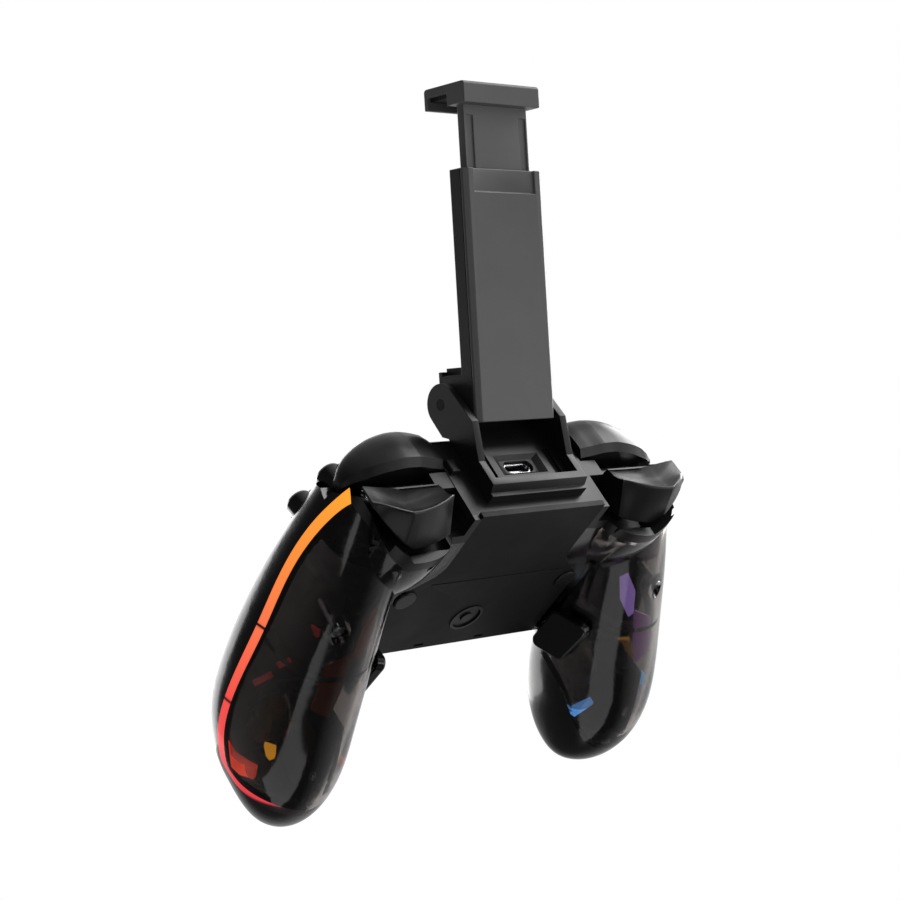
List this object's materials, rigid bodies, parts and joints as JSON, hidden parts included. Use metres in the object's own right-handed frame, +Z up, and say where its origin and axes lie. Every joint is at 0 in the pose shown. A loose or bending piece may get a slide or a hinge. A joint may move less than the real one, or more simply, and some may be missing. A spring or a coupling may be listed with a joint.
{
  "type": "gamepad",
  "caption": "Wireless gamepad with clear lit grips, back paddles, bumpers, triggers and a folding spring clip that holds a phone above the face.",
  "frame": {"origin": "middle of the bottom of the bounding box, on the table that the gamepad lies on face up", "axes": "+X to the player's right, +Y away from the player towards the shoulder buttons, +Z up"},
  "size_m": [0.1506, 0.194, 0.0764],
  "materials": {
    "smoke_shell": "gloss",
    "clear_grip": "clear gloss",
    "light_guide": "frosted",
    "black_matte": "fine texture",
    "black_satin": "satin",
    "clip_grey": "satin",
    "rubber_black": "matte",
    "steel": "brushed",
    "board_green": "satin",
    "battery_wrap": "satin"
  },
  "bodies": {
    "shell": {"back_grip_right": "clear_grip", "light_strip_right": "light_guide", "back_grip_left": "clear_grip", "light_strip_left": "light_guide", "front_shell": "smoke_shell", "back_panel": "black_matte", "cap_right": "black_satin", "cap_left": "black_satin", "badge_disc": "black_satin", "shoulder_deck": "black_matte", "usb_port": "steel", "trigger_pin_right": "steel", "bumper_pin_right": "steel", "trigger_pin_left": "steel", "bumper_pin_left": "steel", "grip_screw_right": "steel", "rumble_motor_right": "steel", "motor_bracket_right": "black_matte", "grip_screw_left": "steel", "rumble_motor_left": "steel", "motor_bracket_left": "black_matte", "main_board": "board_green", "battery": "battery_wrap", "stick_base_right": "black_satin", "stick_ring_right": "black_satin", "stick_base_left": "black_satin", "stick_ring_left": "black_satin", "cross_base": "black_satin", "clip_base": "black_satin", "hinge_pin": "steel", "latch_block": "black_satin"},
    "bumper_right": {"bumper_right": "black_satin"},
    "trigger_right": {"trigger_right": "black_satin"},
    "paddle_right": {"paddle_right": "black_satin"},
    "rumble_weight_right": {"rumble_weight_right": "steel"},
    "stick_carrier_right": {"stick_carrier_right": "black_satin"},
    "stick_yoke_right": {"stick_yoke_right": "black_satin"},
    "stick_right": {"stick_right": "rubber_black"},
    "bumper_left": {"bumper_left": "black_satin"},
    "trigger_left": {"trigger_left": "black_satin"},
    "paddle_left": {"paddle_left": "black_satin"},
    "rumble_weight_left": {"rumble_weight_left": "steel"},
    "stick_carrier_left": {"stick_carrier_left": "black_satin"},
    "stick_yoke_left": {"stick_yoke_left": "black_satin"},
    "stick_left": {"stick_left": "rubber_black"},
    "cross_yoke": {"cross_yoke": "black_satin"},
    "cross_pad": {"cross_pad": "black_satin"},
    "button_north": {"button_north": "black_satin"},
    "button_east": {"button_east": "black_satin"},
    "button_south": {"button_south": "black_satin"},
    "button_west": {"button_west": "black_satin"},
    "view_button": {"view_button": "black_satin"},
    "menu_button": {"menu_button": "black_satin"},
    "home_button": {"home_button": "black_satin"},
    "phone_arm": {"arm_body": "black_satin", "arm_cover": "clip_grey", "lower_jaw_pad": "rubber_black"},
    "phone_slider": {"slider": "clip_grey", "upper_jaw_pad": "rubber_black"}
  },
  "joints": [
    {"name": "bumper_press_right", "type": "hinge", "parent": "shell", "child": "bumper_right", "pos_m": [0.0274, 0.00183, 0.02001], "axis": [0, 0.3837, 0.9234], "range_deg": [-1.7, 0], "stiffness_Nm_per_rad": 0.6},
    {"name": "trigger_pull_right", "type": "hinge", "parent": "shell", "child": "trigger_right", "pos_m": [0.0375, -0.00029, 0.017], "axis": [1, 0, 0], "range_deg": [-12, 0], "stiffness_Nm_per_rad": 0.12, "springref_deg": 5.73},
    {"name": "paddle_press_right", "type": "slide", "parent": "shell", "child": "paddle_right", "axis": [0.9613, 0.1058, 0.2545], "range_m": [0, 0.0005], "stiffness_N_per_m": 2000},
    {"name": "rumble_spin_right", "type": "hinge", "parent": "shell", "child": "rumble_weight_right", "pos_m": [0.049, -0.06344, 0.01931], "axis": [1, 0, 0], "continuous": true},
    {"name": "stick_click_right", "type": "slide", "parent": "shell", "child": "stick_carrier_right", "axis": [0, -0.1834, -0.983], "range_m": [0, 0.0006], "stiffness_N_per_m": 3000},
    {"name": "stick_tilt_forward_right", "type": "hinge", "parent": "stick_carrier_right", "child": "stick_yoke_right", "pos_m": [0.035, -0.02685, 0.0282], "axis": [1, 0, 0], "range_deg": [-16, 16], "stiffness_Nm_per_rad": 0.03},
    {"name": "stick_tilt_across_right", "type": "hinge", "parent": "stick_yoke_right", "child": "stick_right", "pos_m": [0.035, -0.02685, 0.0282], "axis": [0, 0.983, -0.1834], "range_deg": [-16, 16], "stiffness_Nm_per_rad": 0.03},
    {"name": "bumper_press_left", "type": "hinge", "parent": "shell", "child": "bumper_left", "pos_m": [-0.0274, 0.00183, 0.02001], "axis": [0, 0.3837, 0.9234], "range_deg": [0, 1.7], "stiffness_Nm_per_rad": 0.6},
    {"name": "trigger_pull_left", "type": "hinge", "parent": "shell", "child": "trigger_left", "pos_m": [-0.0375, -0.00029, 0.017], "axis": [1, 0, 0], "range_deg": [-12, 0], "stiffness_Nm_per_rad": 0.12, "springref_deg": 5.73},
    {"name": "paddle_press_left", "type": "slide", "parent": "shell", "child": "paddle_left", "axis": [-0.9613, 0.1058, 0.2545], "range_m": [0, 0.0005], "stiffness_N_per_m": 2000},
    {"name": "rumble_spin_left", "type": "hinge", "parent": "shell", "child": "rumble_weight_left", "pos_m": [-0.049, -0.06344, 0.01931], "axis": [1, 0, 0], "continuous": true},
    {"name": "stick_click_left", "type": "slide", "parent": "shell", "child": "stick_carrier_left", "axis": [0, -0.1834, -0.983], "range_m": [0, 0.0006], "stiffness_N_per_m": 3000},
    {"name": "stick_tilt_forward_left", "type": "hinge", "parent": "stick_carrier_left", "child": "stick_yoke_left", "pos_m": [-0.046, -0.01778, 0.02658], "axis": [1, 0, 0], "range_deg": [-16, 16], "stiffness_Nm_per_rad": 0.03},
    {"name": "stick_tilt_across_left", "type": "hinge", "parent": "stick_yoke_left", "child": "stick_left", "pos_m": [-0.046, -0.01778, 0.02658], "axis": [0, 0.983, -0.1834], "range_deg": [-16, 16], "stiffness_Nm_per_rad": 0.03},
    {"name": "cross_tilt_forward", "type": "hinge", "parent": "shell", "child": "cross_yoke", "pos_m": [-0.03, -0.0335, 0.02915], "axis": [1, 0, 0], "range_deg": [-4, 4], "stiffness_Nm_per_rad": 0.3},
    {"name": "cross_tilt_across", "type": "hinge", "parent": "cross_yoke", "child": "cross_pad", "pos_m": [-0.03, -0.0335, 0.02915], "axis": [0, 0.983, -0.1834], "range_deg": [-4, 4], "stiffness_Nm_per_rad": 0.3},
    {"name": "button_north_press", "type": "slide", "parent": "shell", "child": "button_north", "axis": [0, -0.1834, -0.983], "range_m": [0, 0.0012], "stiffness_N_per_m": 800},
    {"name": "button_east_press", "type": "slide", "parent": "shell", "child": "button_east", "axis": [0, -0.1834, -0.983], "range_m": [0, 0.0012], "stiffness_N_per_m": 800},
    {"name": "button_south_press", "type": "slide", "parent": "shell", "child": "button_south", "axis": [0, -0.1834, -0.983], "range_m": [0, 0.0012], "stiffness_N_per_m": 800},
    {"name": "button_west_press", "type": "slide", "parent": "shell", "child": "button_west", "axis": [0, -0.1834, -0.983], "range_m": [0, 0.0012], "stiffness_N_per_m": 800},
    {"name": "view_button_press", "type": "slide", "parent": "shell", "child": "view_button", "axis": [0, -0.1834, -0.983], "range_m": [0, 0.0005], "stiffness_N_per_m": 1500},
    {"name": "menu_button_press", "type": "slide", "parent": "shell", "child": "menu_button", "axis": [0, -0.1834, -0.983], "range_m": [0, 0.0005], "stiffness_N_per_m": 1500},
    {"name": "home_button_press", "type": "slide", "parent": "shell", "child": "home_button", "axis": [0, -0.1834, -0.983], "range_m": [0, 0.0005], "stiffness_N_per_m": 1500},
    {"name": "clip_fold", "type": "hinge", "parent": "shell", "child": "phone_arm", "pos_m": [0, 0.01606, 0.03446], "axis": [1, 0, 0], "range_deg": [-15, 115]},
    {"name": "clip_slide", "type": "slide", "parent": "phone_arm", "child": "phone_slider", "axis": [0, 0.8875, 0.4607], "range_m": [-0.016, 0.018]}
  ]
}
